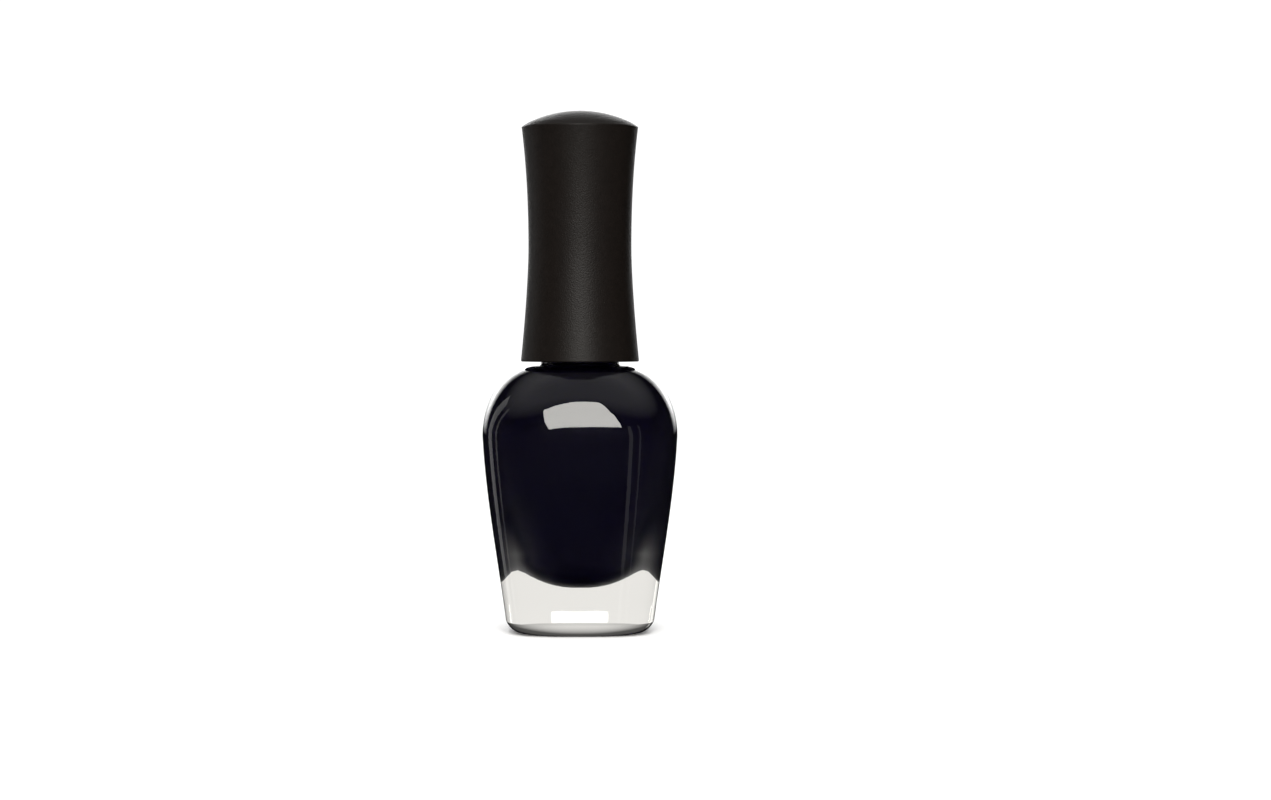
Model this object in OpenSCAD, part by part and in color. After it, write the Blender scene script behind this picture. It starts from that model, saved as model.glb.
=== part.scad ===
// Nail polish bottle: a soft square glass bottle with a threaded neck, its lacquer and two mixing balls,
// and a waisted screw cap that carries the brush. Millimetres, +Z up, origin at the centre of the base.
// The front is towards -Y.

/* [Glass body] */
// Width across the faces at the widest height
body_w = 31.5; // [26:0.1:38]
// Width across the faces at the foot
base_w = 23.5; // [19:0.1:30]
// Height of the widest section above the base
belly_z = 31.9; // [25:0.1:40]
// Height of the round shoulder above the widest section
shoulder_h = 11.2; // [9:0.1:14]
// How square the section is: 2 is a circle, higher values are squarer
squareness = 3.6; // [2.2:0.1:5]
// Height of the rounded heel round the foot
heel_h = 2; // [1.2:0.1:3.5]
// How far the heel draws in from the faces to the ring that the bottle stands on
heel_in = 2.1; // [1.5:0.1:4]
// Thickness of the side walls
wall = 2.4; // [1.6:0.1:3]
// Thickness of the glass under the deepest point of the cavity
floor_t = 8; // [4:0.1:9]
// Height over which the bowl-shaped floor of the cavity rises to the walls
bowl_h = 5.6; // [4:0.1:9]
// Width of the cavity where its bowl-shaped floor meets its walls, which thin out from there upwards
cavity_foot_w = 15.6; // [15:0.1:19]
// Radius of the shallow hollow moulded in the underside
push_up_r = 7.6; // [5:0.1:8]
// Depth of that hollow
push_up = 0.6; // [0.3:0.1:1]

/* [Neck finish] */
// Outer diameter of the neck
neck_d = 12.6; // [11:0.1:15.2]
// Height of the neck from the shoulder to the lip
neck_h = 14.1; // [12:0.1:17]
// Diameter of the bore through the neck
bore_d = 8; // [7.4:0.1:9.6]
// How far the thread stands out of the neck
thread_depth = 0.65; // [0.4:0.05:0.8]
// Rise of the thread in one turn
thread_pitch = 2.117; // [1.8:0.001:2.6]
// Number of turns of each thread
thread_turns = 1.5; // [1:0.25:2]

/* [Cap] */
// Gap between the shoulder and the lower edge of the cap
cap_gap = 0.7; // [0.4:0.05:1.2]
// Height of the cap from its lower edge to the rim at its head
cap_side_h = 38.1; // [32:0.1:46]
// Height of the dome above the rim
dome_h = 2.5; // [1:0.1:4]
// Height of the waist above the lower edge
waist_z = 18.2; // [15:0.1:24]
// Wall of the outer cap at its waist
shell_wall = 0.85; // [0.6:0.05:1.2]
// How far the lower edge stands out past the waist
foot_flare = 1.25; // [0.6:0.05:1.6]
// How far the rim stands out past the waist
head_flare = 1.1; // [0.6:0.05:1.6]
// Thickness of the dome
dome_t = 1.6; // [1:0.1:2.4]
// Wall of the inner cap outside its thread
skirt_wall = 0.55; // [0.4:0.05:0.9]
// Thickness of the inner cap's top plate
plate_t = 1.2; // [0.8:0.1:1.8]
// Thickness of the seal washer
washer_t = 0.8; // [0.5:0.1:1.4]
// Number of keys that turn the inner cap with the outer cap
key_count = 6; // [3:1:8]

/* [Brush] */
// Diameter of the stem
stem_d = 3.4; // [2.8:0.1:4.2]
// Height of the filaments' tip above the floor of the cavity
tip_clear = 3.2; // [1.5:0.1:5]
// Free length of the filaments below the stem
tuft_len = 15.5; // [12:0.1:19]
// Diameter of the tuft where it is widest
tuft_d = 3.6; // [3:0.1:4.2]
// Depth of the socket in the stem that holds the tuft
socket_h = 3.6; // [3:0.1:5]

/* [Lacquer] */
// Height of the lacquer's surface above the shoulder
fill_h = 3.6; // [1:0.1:5]
// Diameter of each mixing ball
ball_d = 3.8; // [3:0.1:4.6]
// Distance of the balls from the bottle's axis
ball_orbit = 4.6; // [4.5:0.1:5]

/* [Hidden] */

// Fits
run_clear = 0.08;    // running clearance between the two threads' crests
seat_gap = 0.03;     // clearance of a pressed or snapped seat
soft_clear = 0.4;    // clearance of the lacquer from what moves in it
wetting = 0.04;      // how far the lacquer is let into the glass, so that no air lies between them
embed = 0.25;        // how far a ridge is rooted in its wall
eps = 0.01;

// Glass
sides = 72;
heel_rings = 7;
heel_arc = 68;
heel_power = 2.3;
flank_rings = 9;
shoulder_rings = 15;
bowl_rings = 12;
neck_r = neck_d / 2;
bore_r = bore_d / 2;
shoulder_z = belly_z + shoulder_h;
lip_z = shoulder_z + neck_h;
lip_round = 0.5;
root_fillet = 0.5;
shoulder_flat = neck_r + 0.9;
flank_end_slope = 0.05;
bowl_power = 2.5;
cavity_foot_power = 2.4;
cavity_top = shoulder_z - wall;
cavity_mouth = bore_r + 0.6;

// Threads
thread_base_w = 1.3;
thread_crest_w = 0.6;
thread_steps = 30;
thread_top_gap = 1.6;
thread_r = neck_r + thread_depth;
cap_thread_depth = 0.3;

// Cap, from the neck outwards
cap_z = shoulder_z + cap_gap;
rim_z = cap_z + cap_side_h;
top_z = rim_z + dome_h;
cap_crest_r = thread_r + run_clear;
skirt_bore_r = cap_crest_r + cap_thread_depth;
skirt_r = skirt_bore_r + skirt_wall;
shell_bore_r = skirt_r + seat_gap;
collar_r = skirt_r - 0.4;
collar_bore_r = collar_r + seat_gap;
waist_r = collar_bore_r + shell_wall;
head_r = waist_r + head_flare;
foot_power = 1.5;
head_power = 2.2;
rim_round = 0.25;
cap_steps = 12;
skirt_z = cap_z + 0.6;
plate_z = lip_z + washer_t;
collar_z = lip_z - 0.6;
collar_top = plate_z + plate_t;
key_w = 1.2;
key_h = 1.6;
hollow_r = collar_bore_r - 0.35;
boss_r = 3.6;
boss_h = 6.5;
rib_t = 0.9;
rib_count = 4;

// Brush
stem_r = stem_d / 2;
floor_z = floor_t;
tip_z = floor_z + tip_clear;
stem_z = tip_z + tuft_len;
plug_r = stem_r + 0.35;
plug_h = boss_h - 0.8;
rise = thread_pitch * 1.25;
washer_r = thread_r - 0.1;
washer_bore_r = plug_r + 0.75;
bead_r = bore_r - 0.45;
bead_h = 1.2;
bead_z = lip_z - rise - 0.3 - bead_h;
socket_r = stem_r - 0.4;
anchor_h = 0.8;
anchor_r = socket_r - 0.06;
tuft_r = tuft_d / 2;
tuft_tip_h = 4.5;

// Floor of the cavity, the balls and the space they roll in
bowl_top = floor_t + bowl_h;
bowl_w = cavity_foot_w / 2;
ball_r = ball_d / 2;
track_r = ball_r + soft_clear;
track_skin = 0.5;
track_floor = bowl_z(ball_orbit + track_r) + track_skin;
ball_z = track_floor + track_r;
pocket_r = max(tuft_r, stem_r) + soft_clear;
fill_z = shoulder_z + fill_h;

// Half-width of the glass at height z: a foot, a nearly straight flank and an elliptical shoulder
function hermite(t, a, b, ma, mb) =
    a * (1 + 2 * t) * pow(1 - t, 2) + b * t * t * (3 - 2 * t)
    + ma * t * pow(1 - t, 2) - mb * t * t * (1 - t);
function flank_w(z) =
    let (slope = (body_w - base_w) / 2 / belly_z)
    hermite(z / belly_z, base_w / 2, body_w / 2, slope * belly_z, flank_end_slope * belly_z);
function shoulder_w(z, top, flat, w) =
    flat + (w - flat) * sqrt(max(0, 1 - pow((z - belly_z) / (top - belly_z), 2)));
function outer_w(z) = z < belly_z ? flank_w(z) : shoulder_w(z, shoulder_z, shoulder_flat, body_w / 2);
function cavity_w(z) =
    let (h = belly_z - bowl_top, rise = body_w / 2 - wall - bowl_w)
    z < belly_z
        ? hermite((z - bowl_top) / h, bowl_w, body_w / 2 - wall, 1.3 * rise, flank_end_slope * h)
        : shoulder_w(z, cavity_top, cavity_mouth, body_w / 2 - wall);

// The section eases from its full squareness at the widest height to a circle at the neck
function section_power(z, top, low = squareness) =
    z < belly_z ? low + (squareness - low) * max(0, (z - bowl_top) / (belly_z - bowl_top))
    : 2 + (squareness - 2) * (0.5 + 0.5 * cos(180 * min(1, (z - belly_z) / (top - belly_z))));

// Height of the bowl-shaped cavity floor at a distance r from the axis
function bowl_z(r) = bowl_top - bowl_h * pow(max(0, 1 - pow(r / bowl_w, bowl_power)), 1 / bowl_power);

// One closed section: a superellipse of half-width w and power p at height z
function section(w, p, z) = [
    for (i = [0 : sides - 1])
        let (a = 360 * i / sides, k = pow(pow(abs(cos(a)), p) + pow(abs(sin(a)), p), -1 / p))
        [w * k * cos(a), w * k * sin(a), z]
];

// Skins a stack of sections, each given as [half-width, power, height]
module loft(stack) {
    last = (len(stack) - 1) * sides;
    points = [for (s = stack) each section(s[0], s[1], s[2])];
    walls = [
        for (j = [0 : len(stack) - 2], i = [0 : sides - 1])
            let (n = (i + 1) % sides, a = j * sides + i, b = j * sides + n, c = b + sides, d = a + sides)
            each [[a, c, b], [a, d, c]]
    ];
    bottom = [for (i = [0 : sides - 1]) i];
    top = [for (i = [sides - 1 : -1 : 0]) last + i];
    polyhedron(points, concat(walls, [bottom, top]));
}

function outer_stack() = concat(
    [for (j = [0 : heel_rings - 1])
        let (a = heel_arc * j / heel_rings, z = heel_h * (1 - cos(a)) / (1 - cos(heel_arc)),
             out = sin(a) / sin(heel_arc))
        [outer_w(z) - heel_in * (1 - out), heel_power + (squareness - heel_power) * out, z]],
    [for (j = [0 : flank_rings - 1])
        let (z = heel_h + (belly_z - heel_h) * j / flank_rings)
        [outer_w(z), squareness, z]],
    [for (j = [0 : shoulder_rings])
        let (z = belly_z + shoulder_h * sin(90 * j / shoulder_rings))
        [outer_w(z), section_power(z, shoulder_z), z]]
);

// The cavity's sections, grown by g on every side
function cavity_stack(g) = concat(
    [for (j = [1 : bowl_rings])
        let (a = 90 * j / bowl_rings, z = bowl_top - (bowl_h + g) * pow(cos(a), 2 / bowl_power))
        [(bowl_w + g) * pow(sin(a), 2 / bowl_power), 2 + (cavity_foot_power - 2) * sin(a), z]],
    [for (j = [1 : flank_rings - 1])
        let (z = bowl_top + (belly_z - bowl_top) * j / flank_rings)
        [cavity_w(z) + g, section_power(z, cavity_top, cavity_foot_power), z]],
    [for (j = [0 : shoulder_rings - 3])
        let (z = belly_z + (cavity_top - belly_z) * sin(90 * j / (shoulder_rings - 3)))
        [cavity_w(z) + g, section_power(z, cavity_top), z + g * (z - belly_z) / (cavity_top - belly_z)]]
);

// A right-handed thread ridge. wall_r is the wall it stands on and crest_r its crest, so it points inwards
// when crest_r is the smaller. It fades into the wall at both ends.
module thread(wall_r, crest_r, z) {
    steps = round(thread_turns * thread_steps);
    out = crest_r > wall_r ? 1 : -1;
    root_r = wall_r - out * embed;
    function height(i) = let (d = min(i, steps - i) / (thread_steps / 6)) min(1, d) - 0.02;
    function ridge(i) =
        let (a = 360 * i / thread_steps, r = wall_r + (crest_r - wall_r) * height(i),
             c = z + thread_pitch * i / thread_steps)
        [for (q = [[root_r, -thread_base_w], [r, -thread_crest_w], [r, thread_crest_w], [root_r, thread_base_w]])
            [q[0] * cos(a), q[0] * sin(a), c + q[1] / 2]];
    points = [for (i = [0 : steps]) each ridge(i)];
    sides4 = [
        for (i = [0 : steps - 1], k = [0 : 3])
            let (n = (k + 1) % 4, a = 4 * i + k, b = 4 * i + n)
            each [[a, b, b + 4], [a, b + 4, a + 4]]
    ];
    ends = [[3, 2, 1, 0], [for (k = [0 : 3]) 4 * steps + k]];
    faces = concat(sides4, ends);
    polyhedron(points, out > 0 ? faces : [for (f = faces) [for (k = [len(f) - 1 : -1 : 0]) f[k]]]);
}

// Quarter arc about a centre, from angle a0 to a1
function arc(c, r, a0, a1, n = 6) = [for (i = [0 : n]) let (a = a0 + (a1 - a0) * i / n) c + r * [cos(a), sin(a)]];

module neck() {
    root = [neck_r + root_fillet, shoulder_z + root_fillet - 0.05];
    rotate_extrude()
        polygon(concat(
            [[0, cavity_top], [neck_r + root_fillet * 0.7, cavity_top]],
            arc(root, root_fillet, 250, 180),
            arc([neck_r - lip_round, lip_z - lip_round], lip_round, 0, 90),
            [[0, lip_z]]
        ));
}

module glass_bottle() {
    color([0.9, 0.94, 0.95, 0.35])
        difference() {
            union() {
                loft(outer_stack());
                neck();
                thread(neck_r, thread_r, lip_z - thread_top_gap - thread_base_w / 2 - thread_turns * thread_pitch);
            }
            loft(cavity_stack(0));
            translate([0, 0, cavity_top - 1]) cylinder(r = bore_r, h = lip_z);
            underside();
        }
}

// The shallow spherical hollow in the foot, which leaves a flat ring to stand on
module underside() {
    r = (pow(push_up_r, 2) + pow(push_up, 2)) / (2 * push_up);
    translate([0, 0, push_up - r]) sphere(r = r);
}

module lacquer() {
    color([0.05, 0.04, 0.16])
        difference() {
            union() {
                loft(cavity_stack(wetting));
                translate([0, 0, cavity_top - 1]) cylinder(r = bore_r + wetting, h = fill_z - cavity_top + 1);
            }
            brush_pocket();
        }
}

// Room in the lacquer for the brush to lift out, and for the balls to roll round near the floor
module brush_pocket() {
    rotate_extrude() {
        translate([0, track_floor]) square([pocket_r, fill_z]);
        translate([0, track_floor]) square([ball_orbit, 2 * track_r]);
        translate([ball_orbit, ball_z]) circle(r = track_r);
    }
}

module mixing_ball(side) {
    color([0.75, 0.76, 0.78]) translate([side * ball_orbit, 0, ball_z]) sphere(d = ball_d);
}

// Radius of the cap's outside at height z, narrowing from both ends to the waist
function cap_r(z) =
    let (waist = cap_z + waist_z)
    z < waist
    ? waist_r + foot_flare * pow((waist - z) / waist_z, foot_power)
    : waist_r + head_flare * pow((z - waist) / (rim_z - waist), head_power);

module cap_shell() {
    dome_r = (pow(head_r, 2) + pow(dome_h, 2)) / (2 * dome_h);
    dome_a = asin(head_r / dome_r);
    crown_z = top_z - dome_t;
    color([0.05, 0.05, 0.05]) {
        difference() {
            rotate_extrude()
                polygon(concat(
                    [[0, cap_z], [cap_r(cap_z) - 0.15, cap_z]],
                    [for (j = [0 : 2 * cap_steps])
                        let (z = cap_z + 0.15 + (cap_side_h - 0.15 - rim_round) * j / (2 * cap_steps)) [cap_r(z), z]],
                    arc([head_r - rim_round, rim_z - rim_round], rim_round, 0, 90 - dome_a, 4),
                    [for (j = [1 : cap_steps])
                        let (a = dome_a * (0.97 - 0.97 * j / cap_steps))
                        [dome_r * sin(a), top_z - dome_r * (1 - cos(a))]]
                ));
            translate([0, 0, cap_z - 1]) cylinder(r = shell_bore_r, h = collar_z - cap_z + 1);
            translate([0, 0, collar_z - 1]) cylinder(r = collar_bore_r, h = collar_top - collar_z + 1);
            translate([0, 0, collar_top - 1]) cylinder(r = hollow_r, h = rim_z - dome_t - collar_top + 1);
            keys(seat_gap);
        }
        boss_ribs();
    }
}

// The webs inside the outer cap that centre the inner cap's boss
module boss_ribs() {
    for (i = [0 : rib_count - 1])
        rotate([0, 0, 360 / rib_count * (i + 0.5)])
            translate([boss_r + seat_gap, -rib_t / 2, collar_top])
                cube([hollow_r - boss_r + embed, rib_t, boss_h]);
}

// The keys on the inner cap's collar, or their keyways when grown by g
module keys(g) {
    for (i = [0 : key_count - 1])
        rotate([0, 0, 360 / key_count * i])
            translate([collar_r - embed, -key_w / 2 - g, collar_top - key_h - g])
                cube([embed + skirt_r - collar_r, key_w + 2 * g, key_h + g]);
}

module inner_cap() {
    color([0.93, 0.93, 0.9]) {
        difference() {
            union() {
                translate([0, 0, skirt_z]) cylinder(r = skirt_r, h = collar_z - skirt_z);
                translate([0, 0, collar_z - eps]) cylinder(r = collar_r, h = collar_top - collar_z + eps);
                translate([0, 0, collar_top - eps]) cylinder(r = boss_r, h = boss_h);
                keys(0);
            }
            translate([0, 0, skirt_z - 1]) cylinder(r = skirt_bore_r, h = plate_z - skirt_z + 1);
            translate([0, 0, plate_z - 1]) cylinder(r = plug_r + seat_gap, h = plug_h + plate_t + 1);
        }
        thread(skirt_bore_r, cap_crest_r, lip_z - thread_top_gap - thread_base_w / 2
            - thread_turns * thread_pitch - thread_pitch / 2);
    }
}

module seal_washer() {
    color([0.85, 0.86, 0.84])
        translate([0, 0, lip_z])
            difference() {
                cylinder(r = washer_r, h = washer_t);
                translate([0, 0, -1]) cylinder(r = washer_bore_r, h = washer_t + 2);
            }
}

module brush_stem() {
    color([0.1, 0.1, 0.11])
        difference() {
            union() {
                translate([0, 0, stem_z]) cylinder(r = stem_r, h = plate_z - stem_z + eps);
                translate([0, 0, plate_z]) cylinder(r = plug_r, h = plate_t + plug_h - 0.2);
                translate([0, 0, bead_z]) cylinder(r1 = stem_r, r2 = bead_r, h = bead_h - 0.4);
                translate([0, 0, bead_z + bead_h - 0.4]) cylinder(r = bead_r, h = 0.4);
            }
            translate([0, 0, stem_z - 1]) cylinder(r = socket_r, h = socket_h + 1);
        }
}

module tuft_anchor() {
    color([0.7, 0.7, 0.72])
        translate([0, 0, stem_z + socket_h - anchor_h]) cylinder(r = anchor_r, h = anchor_h - 0.05);
}

module bristle_tuft() {
    grip_r = socket_r - seat_gap;
    top = stem_z + socket_h - anchor_h;
    color([0.12, 0.11, 0.12])
        rotate_extrude()
            polygon(concat(
                [for (a = [0 : 15 : 90]) [tuft_r * sin(a), tip_z + tuft_tip_h * (1 - cos(a))]],
                [[grip_r + 0.15, stem_z - 0.6], [grip_r, stem_z - 0.05], [grip_r, top], [0, top]]
            ));
}

glass_bottle();
lacquer();
mixing_ball(-1);  // mixing_ball_left
mixing_ball(1);  // mixing_ball_right
cap_shell();
inner_cap();
seal_washer();
brush_stem();
tuft_anchor();
bristle_tuft();
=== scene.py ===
"""Looks of the nail polish bottle: smooth glass, opaque lacquer, soft-touch cap, wet brush and a small studio."""

import logging
import math
import random
from dataclasses import dataclass, field
from enum import Enum

import bpy
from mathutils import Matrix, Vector

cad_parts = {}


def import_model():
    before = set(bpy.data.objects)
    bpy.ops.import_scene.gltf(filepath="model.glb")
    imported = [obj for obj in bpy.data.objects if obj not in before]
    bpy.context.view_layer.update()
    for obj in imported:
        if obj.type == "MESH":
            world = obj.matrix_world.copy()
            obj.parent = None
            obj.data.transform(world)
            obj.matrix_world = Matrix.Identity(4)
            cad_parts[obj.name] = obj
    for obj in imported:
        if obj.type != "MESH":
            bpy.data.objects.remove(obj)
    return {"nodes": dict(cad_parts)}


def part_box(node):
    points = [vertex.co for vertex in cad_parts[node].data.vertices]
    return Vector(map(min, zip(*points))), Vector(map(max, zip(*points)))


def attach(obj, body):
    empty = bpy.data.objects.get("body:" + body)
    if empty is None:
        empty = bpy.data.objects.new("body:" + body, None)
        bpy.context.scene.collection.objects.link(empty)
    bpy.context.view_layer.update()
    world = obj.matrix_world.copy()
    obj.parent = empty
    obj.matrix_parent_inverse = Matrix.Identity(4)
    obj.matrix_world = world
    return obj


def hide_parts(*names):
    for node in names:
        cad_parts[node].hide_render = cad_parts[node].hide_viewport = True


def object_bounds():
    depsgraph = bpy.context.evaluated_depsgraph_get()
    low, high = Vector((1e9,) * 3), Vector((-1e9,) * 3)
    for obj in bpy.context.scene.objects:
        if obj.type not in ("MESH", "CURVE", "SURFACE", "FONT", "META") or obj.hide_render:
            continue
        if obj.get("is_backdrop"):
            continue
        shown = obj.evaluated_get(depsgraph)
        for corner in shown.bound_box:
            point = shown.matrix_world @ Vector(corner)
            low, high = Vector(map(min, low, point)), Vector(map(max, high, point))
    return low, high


MM = 0.001
WELD = 0.002 * MM
WET_EDGE_RISE = 0.006
WET_GLOSS = 0.08
log = logging.getLogger("nail_polish_bottle")


class Slot(Enum):
    """The material slots' names."""

    GLASS = "clear_glass"
    LACQUER = "navy_lacquer"
    BALL = "bright_steel"
    SHELL = "soft_touch_black"
    INNER = "white_moulding"
    WASHER = "washer_foam"
    STEM = "stem_plastic"
    ANCHOR = "anchor_steel"
    BRISTLE = "bristle_nylon"


class Body(Enum):
    """The CAD bodies that pieces ride on."""

    BOTTLE = "bottle"
    CAP = "cap"


# ---------------------------------------------------------------- shader helpers


def new_material(name: str) -> tuple[bpy.types.Material, bpy.types.Node]:
    """Make an empty node material.

    Args:
        name: The material's name.

    Returns:
        The material and its Principled BSDF.
    """
    material = bpy.data.materials.new(name)
    material.use_nodes = True
    return material, material.node_tree.nodes["Principled BSDF"]


def object_coordinates(tree: bpy.types.NodeTree) -> bpy.types.NodeSocket:
    """Give the Object output of a new Texture Coordinate node in the tree."""
    return tree.nodes.new("ShaderNodeTexCoord").outputs["Object"]


def group_node(tree: bpy.types.NodeTree, group: bpy.types.NodeTree, **values: float) -> bpy.types.Node:
    """Place a shader group in a material.

    Args:
        tree: The material's node tree.
        group: The group to place.
        **values: Values for the group's inputs, with _ for each space in an input's name.

    Returns:
        The group's node, with its Vector input joined to the Object coordinates.
    """
    node = tree.nodes.new("ShaderNodeGroup")
    node.node_tree = group
    tree.links.new(object_coordinates(tree), node.inputs["Vector"])
    for key, value in values.items():
        node.inputs[key.replace("_", " ")].default_value = value
    return node


def map_range(tree: bpy.types.NodeTree, source: bpy.types.NodeSocket, low: float, high: float,
              start: float = 0.0, end: float = 1.0) -> bpy.types.NodeSocket:
    """Map a value from the range start..end to low..high, clamped.

    Args:
        tree: The node tree to add to.
        source: The value to map.
        low: The result at start.
        high: The result at end.
        start: The source value that gives low.
        end: The source value that gives high.

    Returns:
        The mapped value's socket.
    """
    node = tree.nodes.new("ShaderNodeMapRange")
    tree.links.new(source, node.inputs["Value"])
    node.inputs["From Min"].default_value = start
    node.inputs["From Max"].default_value = end
    node.inputs["To Min"].default_value = low
    node.inputs["To Max"].default_value = high
    return node.outputs["Result"]


def math_result(tree: bpy.types.NodeTree, operation: str, first: bpy.types.NodeSocket | float,
                second: bpy.types.NodeSocket | float) -> bpy.types.NodeSocket:
    """Add a Math node.

    Args:
        tree: The node tree to add to.
        operation: The node's operation.
        first: A socket to join, or a plain number.
        second: A socket to join, or a plain number.

    Returns:
        The result's socket.
    """
    node = tree.nodes.new("ShaderNodeMath")
    node.operation = operation
    for socket, value in zip(node.inputs, (first, second)):
        if isinstance(value, bpy.types.NodeSocket):
            tree.links.new(value, socket)
        else:
            socket.default_value = value
    return node.outputs[0]


def mix_colours(tree: bpy.types.NodeTree, factor: bpy.types.NodeSocket, first: tuple[float, float, float],
                second: tuple[float, float, float]) -> bpy.types.NodeSocket:
    """Mix two colours by a factor that changes over the surface.

    Args:
        tree: The node tree to add to.
        factor: 0 gives the first colour and 1 the second.
        first: Linear red, green and blue.
        second: Linear red, green and blue.

    Returns:
        The mixed colour's socket.
    """
    node = tree.nodes.new("ShaderNodeMix")
    node.data_type = "RGBA"
    tree.links.new(factor, node.inputs["Factor"])
    node.inputs["A"].default_value = (*first, 1.0)
    node.inputs["B"].default_value = (*second, 1.0)
    return node.outputs["Result"]


def add_bump(tree: bpy.types.NodeTree, height: bpy.types.NodeSocket, shader: bpy.types.Node,
             strength: float, distance: float) -> None:
    """Drive a shader's normal from a height.

    Args:
        tree: The material's node tree.
        height: The height, from 0 to 1.
        shader: The shader whose Normal is driven.
        strength: The bump's strength.
        distance: The height's real depth in metres.
    """
    bump = tree.nodes.new("ShaderNodeBump")
    bump.inputs["Strength"].default_value = strength
    bump.inputs["Distance"].default_value = distance
    tree.links.new(height, bump.inputs["Height"])
    tree.links.new(bump.outputs["Normal"], shader.inputs["Normal"])


def open_group(name: str, inputs: dict[str, float], outputs: tuple[str, ...]) -> tuple:
    """Start a shader node group with a Vector input.

    Args:
        name: The group's name.
        inputs: Each value input's name and its default.
        outputs: The names of the value outputs.

    Returns:
        The group, its input node and its output node.
    """
    group = bpy.data.node_groups.new(name, "ShaderNodeTree")
    group.interface.new_socket("Vector", in_out="INPUT", socket_type="NodeSocketVector")
    for key, value in inputs.items():
        socket = group.interface.new_socket(key, in_out="INPUT", socket_type="NodeSocketFloat")
        socket.default_value = value
    for key in outputs:
        group.interface.new_socket(key, in_out="OUTPUT", socket_type="NodeSocketFloat")
    return group, group.nodes.new("NodeGroupInput"), group.nodes.new("NodeGroupOutput")


def fine_grain_group() -> bpy.types.NodeTree:
    """Build the fine grain of moulded and soft-touch surfaces: Height for a bump and Mottle for roughness."""
    group, given, result = open_group("fine_grain", {"Grain Scale": 9000.0, "Mottle Scale": 700.0},
                                      ("Height", "Mottle"))
    for output, scale, detail in (("Height", "Grain Scale", 3.0), ("Mottle", "Mottle Scale", 5.0)):
        noise = group.nodes.new("ShaderNodeTexNoise")
        noise.inputs["Detail"].default_value = detail
        group.links.new(given.outputs["Vector"], noise.inputs["Vector"])
        group.links.new(given.outputs[scale], noise.inputs["Scale"])
        group.links.new(noise.outputs["Fac"], result.inputs[output])
    return group


def handling_group() -> bpy.types.NodeTree:
    """Build faint handling marks: soft patches, from 0 where clean to 1 where touched."""
    group, given, result = open_group("handling_marks", {"Patch Scale": 120.0, "Streak Scale": 900.0}, ("Marks",))
    patch = group.nodes.new("ShaderNodeTexNoise")
    patch.inputs["Detail"].default_value = 4.0
    patch.inputs["Distortion"].default_value = 0.6
    streak = group.nodes.new("ShaderNodeTexNoise")
    streak.inputs["Detail"].default_value = 2.0
    for node, scale in ((patch, "Patch Scale"), (streak, "Streak Scale")):
        group.links.new(given.outputs["Vector"], node.inputs["Vector"])
        group.links.new(given.outputs[scale], node.inputs["Scale"])
    where = map_range(group, patch.outputs["Fac"], 0.0, 1.0, 0.5, 0.72)
    much = map_range(group, streak.outputs["Fac"], 0.4, 1.0, 0.3, 0.7)
    group.links.new(math_result(group, "MULTIPLY", where, much), result.inputs["Marks"])
    return group


def wet_line_group() -> bpy.types.NodeTree:
    """Build the mask of what has been dipped: Wet is 1 below the Level, with an uneven edge."""
    group, given, result = open_group("wet_line", {"Level": 0.046, "Blend": 0.0012}, ("Wet",))
    split = group.nodes.new("ShaderNodeSeparateXYZ")
    noise = group.nodes.new("ShaderNodeTexNoise")
    noise.inputs["Scale"].default_value = 650.0
    group.links.new(given.outputs["Vector"], split.inputs["Vector"])
    group.links.new(given.outputs["Vector"], noise.inputs["Vector"])

    ragged = math_result(group, "MULTIPLY", math_result(group, "SUBTRACT", noise.outputs["Fac"], 0.5), WET_EDGE_RISE)
    depth = math_result(group, "SUBTRACT", given.outputs["Level"], split.outputs["Z"])
    share = math_result(group, "DIVIDE", math_result(group, "ADD", depth, ragged), given.outputs["Blend"])
    group.links.new(map_range(group, share, 0.0, 1.0), result.inputs["Wet"])
    return group


@dataclass(frozen=True)
class Effects:
    """The node groups that several finishes share."""

    grain: bpy.types.NodeTree
    handling: bpy.types.NodeTree
    wet_line: bpy.types.NodeTree

    @classmethod
    def build(cls) -> "Effects":
        """Build each group once."""
        return cls(fine_grain_group(), handling_group(), wet_line_group())


# ---------------------------------------------------------------- finishes


@dataclass(frozen=True)
class SoftTouchFinish:
    """The cap's matt black soft-touch coat, with a fine grain and slightly polished handling patches."""

    colour: tuple[float, float, float] = (0.0040, 0.0028, 0.0022)
    worn: tuple[float, float, float] = (0.0066, 0.0046, 0.0036)
    roughness: float = 0.41
    polished_roughness: float = 0.35
    grain_depth: float = 0.00006

    def build(self, effects: Effects) -> bpy.types.Material:
        """Make the material from the shared effects."""
        material, shader = new_material("soft_touch_black")
        tree = material.node_tree
        grain = group_node(tree, effects.grain, Grain_Scale=5200.0, Mottle_Scale=900.0)
        marks = group_node(tree, effects.handling, Patch_Scale=95.0, Streak_Scale=1500.0)
        tree.links.new(mix_colours(tree, grain.outputs["Mottle"], self.colour, self.worn),
                       shader.inputs["Base Color"])
        tree.links.new(map_range(tree, marks.outputs["Marks"], self.roughness, self.polished_roughness),
                       shader.inputs["Roughness"])
        add_bump(tree, grain.outputs["Height"], shader, 0.8, self.grain_depth)
        shader.inputs["Specular IOR Level"].default_value = 0.20
        return material


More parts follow.
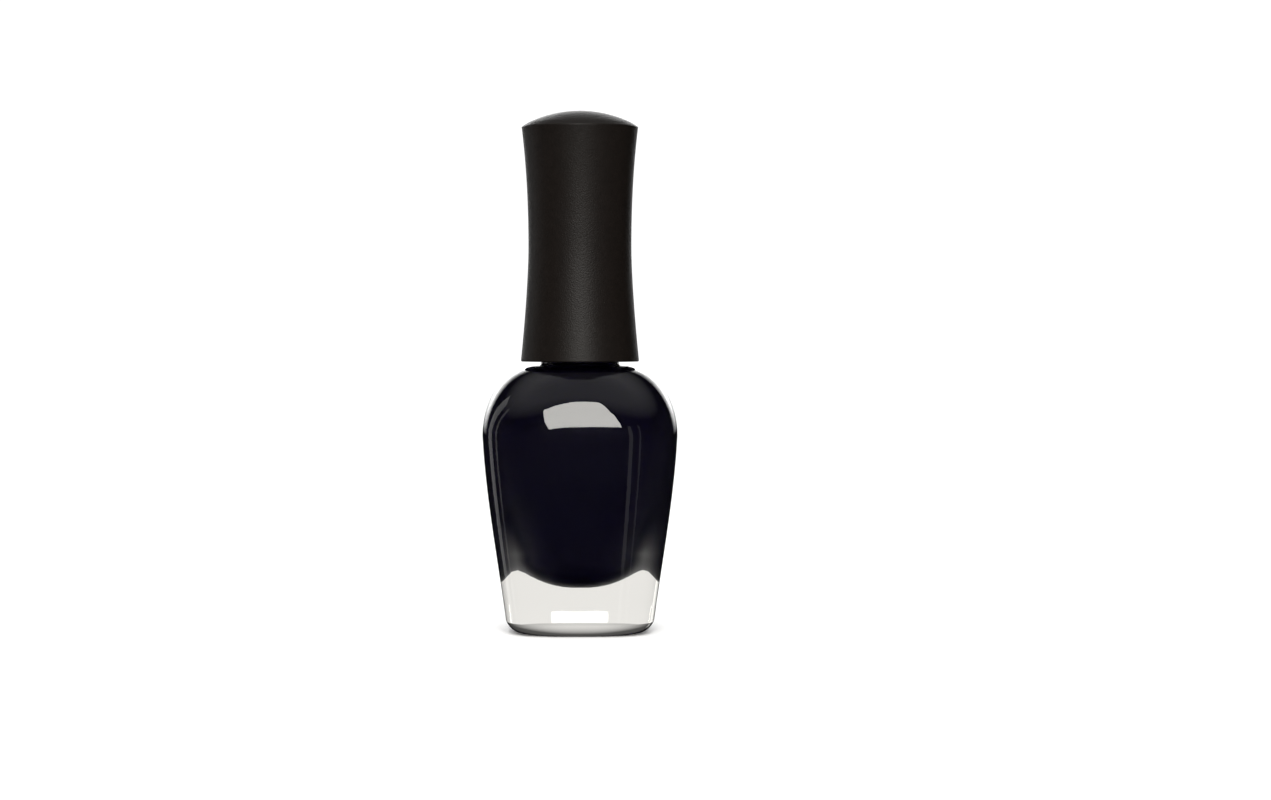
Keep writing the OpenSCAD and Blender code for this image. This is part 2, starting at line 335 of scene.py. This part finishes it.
@dataclass(frozen=True)
class GlassFinish:
    """Clear moulded glass with the faint ripple of the mould."""

    colour: tuple[float, float, float] = (0.80, 0.785, 0.75)
    ior: float = 1.51
    ripple_scale: float = 160.0
    ripple_depth: float = 0.00003

    def build(self, effects: Effects) -> bpy.types.Material:
        """Make the material from the shared effects."""
        material, shader = new_material("clear_glass")
        tree = material.node_tree
        ripple = group_node(tree, effects.grain, Grain_Scale=self.ripple_scale, Mottle_Scale=400.0)
        marks = group_node(tree, effects.handling, Patch_Scale=90.0, Streak_Scale=1300.0)
        shader.inputs["Base Color"].default_value = (*self.colour, 1.0)
        shader.inputs["Transmission Weight"].default_value = 1.0
        shader.inputs["IOR"].default_value = self.ior
        tree.links.new(map_range(tree, marks.outputs["Marks"], 0.0, 0.03), shader.inputs["Roughness"])
        add_bump(tree, ripple.outputs["Height"], shader, 0.10, self.ripple_depth)
        return material


@dataclass(frozen=True)
class LacquerFinish:
    """Opaque navy lacquer that wets the glass, so it has hardly a gloss of its own there."""

    deep: tuple[float, float, float] = (0.0012, 0.0007, 0.0068)
    light: tuple[float, float, float] = (0.0020, 0.0013, 0.0105)

    def build(self, effects: Effects) -> bpy.types.Material:
        """Make the material from the shared effects."""
        material, shader = new_material("navy_lacquer")
        tree = material.node_tree
        cloud = group_node(tree, effects.grain, Grain_Scale=2600.0, Mottle_Scale=110.0)
        tree.links.new(mix_colours(tree, cloud.outputs["Mottle"], self.deep, self.light),
                       shader.inputs["Base Color"])
        tree.links.new(map_range(tree, cloud.outputs["Mottle"], 0.30, 0.42), shader.inputs["Roughness"])
        add_bump(tree, cloud.outputs["Height"], shader, 0.05, 0.00001)
        shader.inputs["Specular IOR Level"].default_value = 0.04
        return material


@dataclass(frozen=True)
class SteelFinish:
    """Bright steel with fine random scratches in its roughness."""

    name: str
    colour: tuple[float, float, float] = (0.62, 0.63, 0.65)
    roughness: float = 0.14

    def build(self, effects: Effects) -> bpy.types.Material:
        """Make the material from the shared effects."""
        material, shader = new_material(self.name)
        tree = material.node_tree
        grain = group_node(tree, effects.grain, Grain_Scale=4000.0, Mottle_Scale=1200.0)
        shader.inputs["Metallic"].default_value = 1.0
        dull = tuple(0.8 * part for part in self.colour)
        tree.links.new(mix_colours(tree, grain.outputs["Mottle"], self.colour, dull), shader.inputs["Base Color"])
        tree.links.new(map_range(tree, grain.outputs["Mottle"], self.roughness, self.roughness * 2),
                       shader.inputs["Roughness"])
        add_bump(tree, grain.outputs["Height"], shader, 0.1, 0.00001)
        return material


@dataclass(frozen=True)
class MouldedFinish:
    """Plain moulded plastic with a fine grain; dipped parts carry a glossy film of lacquer below the wet line."""

    name: str
    colour: tuple[float, float, float]
    shade: tuple[float, float, float]
    roughness: float = 0.4
    scatter: float = 0.0
    wet_level: float = 0.0
    wet_colour: tuple[float, float, float] = (0.0030, 0.0020, 0.0150)

    def build(self, effects: Effects) -> bpy.types.Material:
        """Make the material from the shared effects."""
        material, shader = new_material(self.name)
        tree = material.node_tree
        grain = group_node(tree, effects.grain, Grain_Scale=3500.0, Mottle_Scale=260.0)
        colour = mix_colours(tree, grain.outputs["Mottle"], self.colour, self.shade)
        roughness = map_range(tree, grain.outputs["Mottle"], self.roughness - 0.05, self.roughness + 0.08)
        if self.wet_level > 0.0:
            wet = group_node(tree, effects.wet_line, Level=self.wet_level)
            film = tree.nodes.new("ShaderNodeMix")
            film.data_type = "RGBA"
            tree.links.new(wet.outputs["Wet"], film.inputs["Factor"])
            tree.links.new(colour, film.inputs["A"])
            film.inputs["B"].default_value = (*self.wet_colour, 1.0)
            colour = film.outputs["Result"]
            gloss = tree.nodes.new("ShaderNodeMix")
            tree.links.new(wet.outputs["Wet"], gloss.inputs["Factor"])
            tree.links.new(roughness, gloss.inputs["A"])
            gloss.inputs["B"].default_value = WET_GLOSS
            roughness = gloss.outputs["Result"]
        tree.links.new(colour, shader.inputs["Base Color"])
        tree.links.new(roughness, shader.inputs["Roughness"])
        add_bump(tree, grain.outputs["Height"], shader, 0.15, 0.00001)
        if self.scatter > 0.0:
            shader.inputs["Subsurface Weight"].default_value = self.scatter
            shader.inputs["Subsurface Radius"].default_value = (0.0012, 0.0010, 0.0009)
        return material


# ---------------------------------------------------------------- modelling helpers


def deselect_all() -> None:
    """Leave edit mode and select nothing."""
    if bpy.context.object is not None and bpy.context.object.mode != "OBJECT":
        bpy.ops.object.mode_set(mode="OBJECT")
    bpy.ops.object.select_all(action="DESELECT")


def make_active(obj: bpy.types.Object) -> None:
    """Select this object alone and make it active."""
    deselect_all()
    obj.select_set(True)
    bpy.context.view_layer.objects.active = obj


def dress(obj: bpy.types.Object, material: bpy.types.Material) -> None:
    """Give an object one material all over."""
    obj.data.materials.clear()
    obj.data.materials.append(material)


def smooth_copy(node: str, name: str, crease: float) -> bpy.types.Object:
    """Copy a CAD node's surface as one smooth skin.

    Args:
        node: The CAD node.
        name: The new piece's name.
        crease: The angle in degrees above which an edge stays sharp.

    Returns:
        The new piece, at the node's place.
    """
    source = bpy.data.objects[node]
    copy = bpy.data.objects.new(name, source.data.copy())
    copy.data.name = name
    bpy.context.scene.collection.objects.link(copy)
    make_active(copy)
    bpy.ops.object.mode_set(mode="EDIT")
    bpy.ops.mesh.customdata_custom_splitnormals_clear()
    bpy.ops.mesh.select_all(action="SELECT")
    bpy.ops.mesh.remove_doubles(threshold=WELD)
    bpy.ops.mesh.dissolve_degenerate(threshold=WELD)
    bpy.ops.object.mode_set(mode="OBJECT")
    bpy.ops.object.shade_smooth_by_angle(angle=math.radians(crease))
    return copy


def place_piece(obj: bpy.types.Object, body: Body, slot: Slot, *nodes: str) -> None:
    """Parent a finished piece to its body and hide the CAD nodes that it stands for.

    Args:
        obj: The piece, in place.
        body: The body it moves with.
        slot: Not used.
        *nodes: The CAD nodes that it stands for.
    """
    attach(obj, body.value)
    if nodes:
        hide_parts(*nodes)
    log.info("%s rides on %s: %d faces", obj.name, body.value, len(obj.data.polygons))


# ---------------------------------------------------------------- sub-assemblies


@dataclass
class Bottle:
    """The glass, the lacquer in it and the two mixing balls."""

    effects: Effects
    glass_crease: float = 18.0
    lacquer_crease: float = 40.0

    def build(self) -> None:
        """Make the smooth glass and lacquer and dress the balls."""
        glass = smooth_copy("glass_bottle", "glass_body", self.glass_crease)
        dress(glass, GlassFinish().build(self.effects))
        place_piece(glass, Body.BOTTLE, Slot.GLASS, "glass_bottle")
        fill = smooth_copy("lacquer", "lacquer_fill", self.lacquer_crease)
        dress(fill, LacquerFinish().build(self.effects))
        place_piece(fill, Body.BOTTLE, Slot.LACQUER, "lacquer")
        steel = SteelFinish("bright_steel").build(self.effects)
        for node in ("mixing_ball_left", "mixing_ball_right"):
            dress(bpy.data.objects[node], steel)


@dataclass
class Cap:
    """The outer cap, the inner cap pressed into it and the loose washer."""

    effects: Effects
    shell_crease: float = 28.0
    inner_crease: float = 35.0

    def build(self) -> None:
        """Make the smooth caps and dress the washer."""
        shell = smooth_copy("cap_shell", "outer_cap", self.shell_crease)
        dress(shell, SoftTouchFinish().build(self.effects))
        place_piece(shell, Body.CAP, Slot.SHELL, "cap_shell")
        inner = smooth_copy("inner_cap", "threaded_cap", self.inner_crease)
        dress(inner, MouldedFinish("white_moulding", (0.70, 0.70, 0.66), (0.62, 0.62, 0.58), 0.38,
                                   scatter=0.2).build(self.effects))
        place_piece(inner, Body.CAP, Slot.INNER, "inner_cap")
        dress(bpy.data.objects["seal_washer"],
              MouldedFinish("washer_foam", (0.62, 0.63, 0.60), (0.50, 0.51, 0.49), 0.7).build(self.effects))


@dataclass
class Brush:
    """The stem, its anchor and the fan of fine filaments."""

    effects: Effects
    filament_count: int = 420
    filament_r: float = 0.055 * MM
    rings: int = 12
    sides: int = 4
    tip_dome: float = 3.0 * MM
    seed: int = 7
    wet_level: float = 0.0455
    wiggle: float = 0.05 * MM

    def build(self) -> None:
        """Dress the stem and the anchor and make the filaments."""
        stem = MouldedFinish("stem_plastic", (0.018, 0.018, 0.020), (0.012, 0.012, 0.014), 0.28,
                             wet_level=self.wet_level).build(self.effects)
        dress(bpy.data.objects["brush_stem"], stem)
        dress(bpy.data.objects["tuft_anchor"], SteelFinish("anchor_steel", roughness=0.2).build(self.effects))
        tuft = self.make_tuft()
        nylon = MouldedFinish("bristle_nylon", (0.020, 0.018, 0.022), (0.012, 0.011, 0.014), 0.3,
                              wet_level=self.wet_level).build(self.effects)
        dress(tuft, nylon)
        place_piece(tuft, Body.CAP, Slot.BRISTLE, "bristle_tuft")

    def make_tuft(self) -> bpy.types.Object:
        """Model one filament, copy it round the tuft and join the copies."""
        low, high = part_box("bristle_tuft")
        belly_r = high.x
        socket_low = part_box("brush_stem")[0].z
        grip_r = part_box("tuft_anchor")[1].x
        dice = random.Random(self.seed)
        pattern = self.make_filament()
        strands = []
        for i in range(self.filament_count):
            share = math.sqrt((i + 0.5) / self.filament_count)
            turn = i * math.pi * (3.0 - math.sqrt(5.0))
            strand = bpy.data.objects.new(f"strand_{i}", pattern.data.copy())
            bpy.context.scene.collection.objects.link(strand)
            tip = low.z + self.tip_dome * (1.0 - math.sqrt(1.0 - 0.96 * share * share)) + dice.uniform(0, 0.25) * MM
            self.lay_strand(strand, share, turn, tip, high.z, socket_low, grip_r, belly_r, dice)
            strands.append(strand)
        bpy.data.objects.remove(pattern)
        make_active(strands[0])
        for strand in strands:
            strand.select_set(True)
        bpy.ops.object.join()
        tuft = strands[0]
        tuft.name = "bristle_filaments"
        tuft.data.name = tuft.name
        bpy.ops.object.shade_smooth_by_angle(angle=math.radians(60.0))
        return tuft

    def make_filament(self) -> bpy.types.Object:
        """Model one straight filament of unit length along Z, from 0 at its tip to 1 at its root."""
        deselect_all()
        bpy.ops.mesh.primitive_cylinder_add(vertices=self.sides, radius=self.filament_r, depth=1.0,
                                            location=(0.0, 0.0, 0.5))
        pattern = bpy.context.object
        make_active(pattern)
        bpy.ops.object.transform_apply(location=True, rotation=True, scale=True)
        bpy.ops.object.mode_set(mode="EDIT")
        for ring in range(1, self.rings):
            bpy.ops.mesh.select_all(action="SELECT")
            bpy.ops.mesh.bisect(plane_co=(0.0, 0.0, ring / self.rings), plane_no=(0.0, 0.0, 1.0))
        bpy.ops.object.mode_set(mode="OBJECT")
        return pattern

    def lay_strand(self, strand: bpy.types.Object, share: float, turn: float, tip: float, root: float,
                   socket: float, grip_r: float, belly_r: float, dice: random.Random) -> None:
        """Bend one strand along the tuft's outline.

        Args:
            strand: The strand, still straight and of unit length.
            share: How far out it lies, from 0 at the axis to 1 at the outside.
            turn: Its angle round the axis.
            tip: Height of its tip.
            root: Height of its root.
            socket: Height of the stem's end.
            grip_r: Radius of the tuft in the socket.
            belly_r: Radius of the tuft at its widest.
            dice: The seeded source of small differences.
        """
        inner = grip_r - 1.5 * self.filament_r
        outer = belly_r - 2.0 * self.filament_r
        sway = dice.uniform(-1, 1) * self.wiggle
        lean = dice.uniform(-0.08, 0.08)
        for vertex in strand.data.vertices:
            height = vertex.co.z
            z = tip + (root - tip) * height
            free = max(0.0, min(1.0, (socket - z) / (socket - tip)))
            spread = math.sin(math.pi * min(1.0, free * 0.95) ** 0.8)
            radius = share * (inner + (outer - inner) * spread) + sway * spread * 0.5
            taper = 1.0 - 0.55 * max(0.0, free - 0.75) / 0.25
            angle = turn + lean * free
            vertex.co = Vector((vertex.co.x * taper + radius * math.cos(angle),
                                vertex.co.y * taper + radius * math.sin(angle), z))


# ---------------------------------------------------------------- studio


@dataclass
class Panel:
    """A flat studio light."""

    name: str
    place: tuple[float, float, float]
    target: tuple[float, float, float]
    size: tuple[float, float]
    watts: float
    roll: float = 0.0
    colour: tuple[float, float, float] = (1.0, 1.0, 1.0)
    glossy: bool = True

    def build(self) -> bpy.types.Object:
        """Make the light and aim it; one that isn't glossy lights the object but doesn't show in its gloss."""
        data = bpy.data.lights.new(self.name, "AREA")
        data.shape = "RECTANGLE"
        data.size, data.size_y = self.size
        data.energy = self.watts
        data.color = self.colour
        lamp = bpy.data.objects.new(self.name, data)
        bpy.context.scene.collection.objects.link(lamp)
        lamp.location = self.place
        aim = Vector(self.target) - Vector(self.place)
        lamp.rotation_euler = aim.to_track_quat("-Z", "Y").to_euler()
        lamp.rotation_euler.rotate_axis("Z", math.radians(self.roll))
        lamp.visible_camera = False
        lamp.visible_glossy = self.glossy
        return lamp


@dataclass
class Studio:
    """The pale floor, the soft lights, the white surroundings and the camera.

    The frame's sizes, and the object's place and height in it, are in units of the picture's width / 1271.
    """

    floor_r: float = 2.5
    floor_colour: tuple[float, float, float] = (0.96, 0.96, 0.96)
    surround: float = 1.10
    reflected: float = 0.006
    back_glow: float = 3.6
    top_glow: float = 0.42
    overhead: float = 0.12
    camera_distance: float = 0.500
    eye_height: float = 0.050
    frame_width: float = 1271.0
    frame_height: float = 800.0
    axis_x: float = 580.0
    base_y: float = 631.0
    object_size: float = 519.5
    panels: list[Panel] = field(default_factory=list)

    def build(self, low: Vector, high: Vector) -> None:
        """Make the whole studio round the object's box.

        Args:
            low: The box's lowest corner.
            high: The box's highest corner.
        """
        self.make_floor()
        self.make_world()
        for panel in self.panels:
            panel.build()
        self.make_camera(high.z - low.z)

    def make_floor(self) -> None:
        """Make the round pale floor, a little below the base so that the two never share a plane."""
        deselect_all()
        bpy.ops.mesh.primitive_circle_add(vertices=96, radius=self.floor_r, fill_type="NGON",
                                          location=(0.0, 0.0, -0.02 * MM))
        floor = bpy.context.object
        floor.name = "studio_floor"
        material, shader = new_material("pale_floor")
        tree = material.node_tree
        noise = tree.nodes.new("ShaderNodeTexNoise")
        noise.inputs["Scale"].default_value = 30.0
        tree.links.new(object_coordinates(tree), noise.inputs["Vector"])
        shade = tuple(0.985 * part for part in self.floor_colour)
        tree.links.new(mix_colours(tree, noise.outputs["Fac"], self.floor_colour, shade),
                       shader.inputs["Base Color"])
        shader.inputs["Roughness"].default_value = 0.7
        shader.inputs["Specular IOR Level"].default_value = 0.2
        dress(floor, material)
        floor.visible_glossy = False
        floor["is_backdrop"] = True

    def make_world(self) -> None:
        """Make white surroundings that light the floor, and a dark room with soft glows for reflections."""
        world = bpy.data.worlds.new("studio_world")
        world.use_nodes = True
        bpy.context.scene.world = world
        tree = world.node_tree
        tree.nodes.clear()
        path = tree.nodes.new("ShaderNodeLightPath")
        mirrored = math_result(tree, "SUBTRACT", path.outputs["Is Glossy Ray"], path.outputs["Is Transmission Ray"])
        level = tree.nodes.new("ShaderNodeMix")
        tree.links.new(self.backdrop(tree), level.inputs["A"])
        tree.links.new(map_range(tree, mirrored, 0.0, 1.0), level.inputs["Factor"])
        tree.links.new(self.room_glow(tree), level.inputs["B"])
        glow = tree.nodes.new("ShaderNodeBackground")
        glow.inputs["Color"].default_value = (1.0, 1.0, 1.0, 1.0)
        tree.links.new(level.outputs["Result"], glow.inputs["Strength"])
        out = tree.nodes.new("ShaderNodeOutputWorld")
        tree.links.new(glow.outputs["Background"], out.inputs["Surface"])
        world.cycles.sampling_method = "NONE"

    def backdrop(self, tree: bpy.types.NodeTree) -> bpy.types.NodeSocket:
        """Give what the eye, the floor and the glass see: white all round, and dimmer overhead for the glass.

        Args:
            tree: The world's node tree.

        Returns:
            The brightness in each direction.
        """
        split = tree.nodes.new("ShaderNodeSeparateXYZ")
        tree.links.new(tree.nodes.new("ShaderNodeTexCoord").outputs["Generated"], split.inputs["Vector"])
        overhead = map_range(tree, split.outputs["Z"], 0.0, 1.0, 0.18, 0.55)
        facing = map_range(tree, split.outputs["Y"], 0.5, 0.0, -0.6, 0.1)
        path = tree.nodes.new("ShaderNodeLightPath")
        dimmed = math_result(tree, "MAXIMUM", overhead, facing)
        through = math_result(tree, "MULTIPLY", path.outputs["Is Transmission Ray"], dimmed)
        return map_range(tree, through, self.surround, self.overhead)

    def room_glow(self, tree: bpy.types.NodeTree) -> bpy.types.NodeSocket:
        """Give what gloss sees of the room: dark, with a pale band low at the back and a soft glow overhead.

        Args:
            tree: The world's node tree.

        Returns:
            The brightness in each direction.
        """
        split = tree.nodes.new("ShaderNodeSeparateXYZ")
        tree.links.new(tree.nodes.new("ShaderNodeTexCoord").outputs["Generated"], split.inputs["Vector"])
        glow = map_range(tree, split.outputs["Y"], 0.0, 1.0, 0.80, 0.95)
        for limit in (map_range(tree, split.outputs["Z"], 0.0, 1.0, -0.02, 0.16),
                      map_range(tree, split.outputs["Z"], 1.0, 0.0, 0.35, 0.60)):
            glow = math_result(tree, "MULTIPLY", glow, limit)
        back = map_range(tree, glow, self.reflected, self.back_glow)
        top = map_range(tree, split.outputs["Z"], 0.0, self.top_glow, 0.55, 0.85)
        return math_result(tree, "ADD", back, top)

    def make_camera(self, height: float) -> None:
        """Make the camera, so that an object of this height fills the frame as it should.

        Args:
            height: The object's height in metres.
        """
        units_per_metre = self.object_size / height
        focal_units = units_per_metre * self.camera_distance
        data = bpy.data.cameras.new("camera")
        data.sensor_width = 36.0
        data.lens = focal_units / self.frame_width * data.sensor_width
        data.clip_start = 0.01
        camera = bpy.data.objects.new("camera", data)
        bpy.context.scene.collection.objects.link(camera)
        camera.location = (0.0, -self.camera_distance, self.eye_height)
        right = (self.frame_width / 2 - self.axis_x) / units_per_metre
        up = (self.base_y - self.frame_height / 2) / units_per_metre
        aim = Vector((right, 0.0, up)) - camera.location
        camera.rotation_euler = aim.to_track_quat("-Z", "Y").to_euler()
        bpy.context.scene.camera = camera


def studio_panels() -> list[Panel]:
    """Give the soft lights, from the key round to the back."""
    centre = (0.0, 0.0, 0.045)
    return [
        Panel("key_window", (0.0, -0.80, 0.485), (0.0, 0.0, 0.04), (0.40, 0.57), 8.3, roll=14.0,
              colour=(1.0, 0.985, 0.94)),
        Panel("upper_front", (0.0, -0.40, 1.0), centre, (1.6, 1.0), 1.6,
              colour=(0.92, 0.93, 1.0), glossy=False),
        Panel("left_strip", (-0.58, 0.38, 0.10), centre, (0.20, 1.0), 0.42),
        Panel("left_far_strip", (-0.66, 0.10, 0.10), centre, (0.08, 1.0), 0.12),
        Panel("right_strip", (0.30, -0.68, -0.05), centre, (0.06, 0.7), 0.05),
        Panel("right_far_strip", (0.44, -0.58, -0.05), centre, (0.04, 0.8), 0.03),
    ]


def main() -> None:
    """Load the frame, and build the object's looks and the studio."""
    logging.basicConfig(level=logging.INFO, format="%(name)s: %(message)s")
    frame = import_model()
    cad_low, cad_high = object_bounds()
    log.info("frame holds %d nodes", len(frame["nodes"]))
    deselect_all()
    effects = Effects.build()
    Bottle(effects).build()
    Cap(effects).build()
    Brush(effects).build()
    Studio(panels=studio_panels()).build(cad_low, cad_high)
    bpy.context.scene.view_settings.view_transform = "Standard"


if __name__ == "__main__":
    main()
